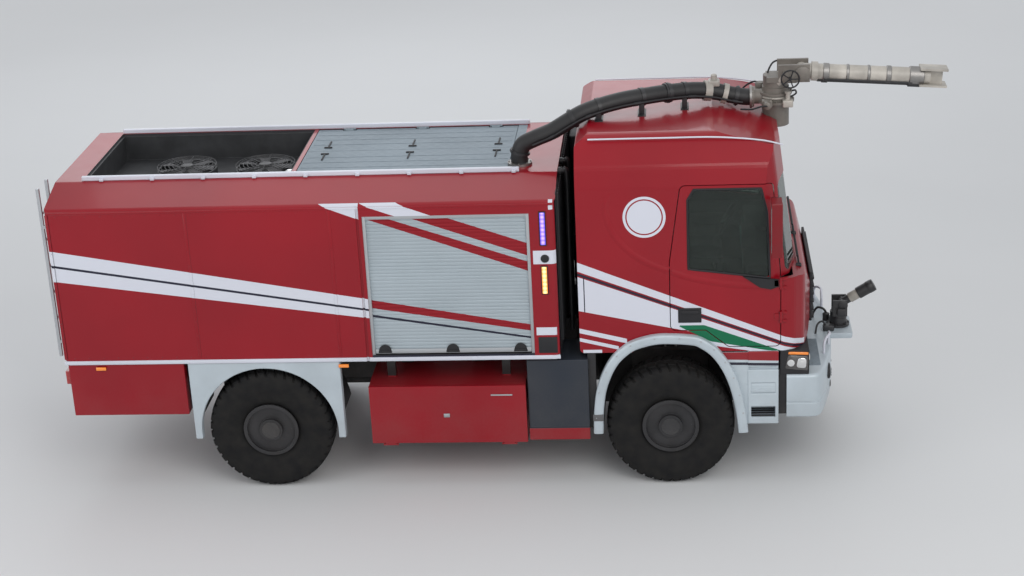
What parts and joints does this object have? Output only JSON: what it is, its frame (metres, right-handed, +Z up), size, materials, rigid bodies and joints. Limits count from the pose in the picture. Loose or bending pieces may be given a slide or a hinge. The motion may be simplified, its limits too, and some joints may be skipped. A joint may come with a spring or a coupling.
{
  "type": "airport fire truck",
  "caption": "Two-axle airport fire truck with a long cab, box body with roller shutters, roof deck, and roof and bumper water monitors.",
  "frame": {"origin": "on the ground, midway along the truck's whole length and on its middle plane", "axes": "+X forward along the truck, +Y to its left, +Z up"},
  "size_m": [8.6599, 3.06, 3.89],
  "materials": {
    "red_paint": "gloss red coach paint",
    "white_paint": "gloss white paint",
    "light_panel": "satin pale grey paint",
    "frame_paint": "satin dark chassis paint",
    "tank_paint": "satin dark grey paint",
    "rim_paint": "satin grey wheel paint",
    "monitor_black": "black anodised metal",
    "cast_block": "painted iron casting",
    "bare_aluminium": "brushed sheet",
    "black_plastic": "matte black plastic",
    "lamp_red": "clear red lens",
    "lamp_blue": "clear blue lens",
    "window_glass": "tinted safety glass",
    "tyre_rubber": "worn black rubber",
    "seat_cloth": "dark woven cloth"
  },
  "bodies": {
    "root": {"chassis_frame": "frame_paint", "cross_members": "frame_paint", "body_bearers": "frame_paint", "engine_block": "cast_block", "front_axle": "frame_paint", "rear_axle": "frame_paint", "suspension": "frame_paint", "driveline": "frame_paint", "cab_shell": "red_paint", "windscreen": "window_glass", "front_grille": "black_plastic", "front_bumper": "light_panel", "headlamps": "black_plastic", "cab_steps": "light_panel", "front_arches": "light_panel", "dashboard": "black_plastic", "seats": "seat_cloth", "body_shell": "red_paint", "roller_shutters": "bare_aluminium", "roof_deck": "bare_aluminium", "roof_rails": "white_paint", "engine_well": "frame_paint", "side_lockers": "red_paint", "side_tanks": "tank_paint", "rear_fenders": "light_panel", "rear_underrun": "red_paint", "rear_ladder": "bare_aluminium", "tail_lamps": "lamp_red", "warning_lamps": "lamp_blue", "roof_pipe": "black_plastic", "roof_monitor_base": "monitor_black", "bumper_monitor_base": "monitor_black"},
    "roof_monitor_swivel": {"roof_monitor_swivel": "monitor_black"},
    "roof_monitor_barrel": {"roof_monitor_barrel": "monitor_black"},
    "bumper_monitor_swivel": {"bumper_monitor_swivel": "monitor_black"},
    "bumper_monitor_nozzle": {"bumper_monitor_nozzle": "monitor_black"},
    "door_left": {"cab_door_left": "red_paint", "door_glass_left": "window_glass", "mirror_left": "black_plastic"},
    "door_right": {"cab_door_right": "red_paint", "door_glass_right": "window_glass", "mirror_right": "black_plastic"},
    "roof_lid_left": {"roof_lid_left": "bare_aluminium"},
    "roof_lid_right": {"roof_lid_right": "bare_aluminium"},
    "locker_flap_left": {"locker_flap_left": "red_paint"},
    "locker_flap_right": {"locker_flap_right": "red_paint"},
    "knuckle_left": {"knuckle_left": "frame_paint"},
    "knuckle_right": {"knuckle_right": "frame_paint"},
    "wheel_front_left": {"rim_front_left": "rim_paint", "tyre_front_left": "tyre_rubber"},
    "wheel_front_right": {"rim_front_right": "rim_paint", "tyre_front_right": "tyre_rubber"},
    "wheel_rear_left": {"rim_rear_left": "rim_paint", "tyre_rear_left": "tyre_rubber"},
    "wheel_rear_right": {"rim_rear_right": "rim_paint", "tyre_rear_right": "tyre_rubber"}
  },
  "joints": [
    {"name": "steer_left", "type": "hinge", "parent": "root", "child": "knuckle_left", "pos_m": [1.64, 0.98, 0.62], "axis": [0, 0, 1], "range_deg": [-30, 30]},
    {"name": "steer_right", "type": "hinge", "parent": "root", "child": "knuckle_right", "pos_m": [1.64, -0.98, 0.62], "axis": [0, 0, 1], "range_deg": [-30, 30]},
    {"name": "spin_front_left", "type": "hinge", "parent": "knuckle_left", "child": "wheel_front_left", "pos_m": [1.64, 1.055, 0.62], "axis": [0, 1, 0], "continuous": true},
    {"name": "spin_front_right", "type": "hinge", "parent": "knuckle_right", "child": "wheel_front_right", "pos_m": [1.64, -1.055, 0.62], "axis": [0, 1, 0], "continuous": true},
    {"name": "spin_rear_left", "type": "hinge", "parent": "root", "child": "wheel_rear_left", "pos_m": [-2.29, 1.055, 0.62], "axis": [0, 1, 0], "continuous": true},
    {"name": "spin_rear_right", "type": "hinge", "parent": "root", "child": "wheel_rear_right", "pos_m": [-2.29, -1.055, 0.62], "axis": [0, 1, 0], "continuous": true},
    {"name": "door_swing_right", "type": "hinge", "parent": "root", "child": "door_right", "pos_m": [2.694, -1.226, 1.75], "axis": [0, 0, 1], "range_deg": [0, 75]},
    {"name": "door_swing_left", "type": "hinge", "parent": "root", "child": "door_left", "pos_m": [2.694, 1.226, 1.75], "axis": [0, 0, -1], "range_deg": [0, 75]},
    {"name": "lid_right", "type": "hinge", "parent": "root", "child": "roof_lid_right", "pos_m": [0, -0.718, 3.102], "axis": [1, 0, 0], "range_deg": [0, 85]},
    {"name": "lid_left", "type": "hinge", "parent": "root", "child": "roof_lid_left", "pos_m": [0, 0.718, 3.102], "axis": [-1, 0, 0], "range_deg": [0, 85]},
    {"name": "flap_right", "type": "hinge", "parent": "root", "child": "locker_flap_right", "pos_m": [0, -1.245, 0.464], "axis": [1, 0, 0], "range_deg": [0, 90]},
    {"name": "flap_left", "type": "hinge", "parent": "root", "child": "locker_flap_left", "pos_m": [0, 1.245, 0.464], "axis": [-1, 0, 0], "range_deg": [0, 90]},
    {"name": "roof_monitor_turn", "type": "hinge", "parent": "root", "child": "roof_monitor_swivel", "pos_m": [2.7, 0, 3.66], "axis": [0, 0, 1], "range_deg": [-110, 110]},
    {"name": "roof_monitor_lift", "type": "hinge", "parent": "roof_monitor_swivel", "child": "roof_monitor_barrel", "pos_m": [2.95, 0, 3.8], "axis": [0, -1, 0], "range_deg": [-4, 60]},
    {"name": "bumper_monitor_turn", "type": "hinge", "parent": "root", "child": "bumper_monitor_swivel", "pos_m": [3.33, 0, 1.24], "axis": [0, 0, 1], "range_deg": [-60, 60]},
    {"name": "bumper_monitor_lift", "type": "hinge", "parent": "bumper_monitor_swivel", "child": "bumper_monitor_nozzle", "pos_m": [3.37, 0, 1.39], "axis": [0, -1, 0], "range_deg": [-35, 35]}
  ],
  "couplings": [
    {"joint": "steer_right", "follows": "steer_left", "ratio": 1}
  ]
}
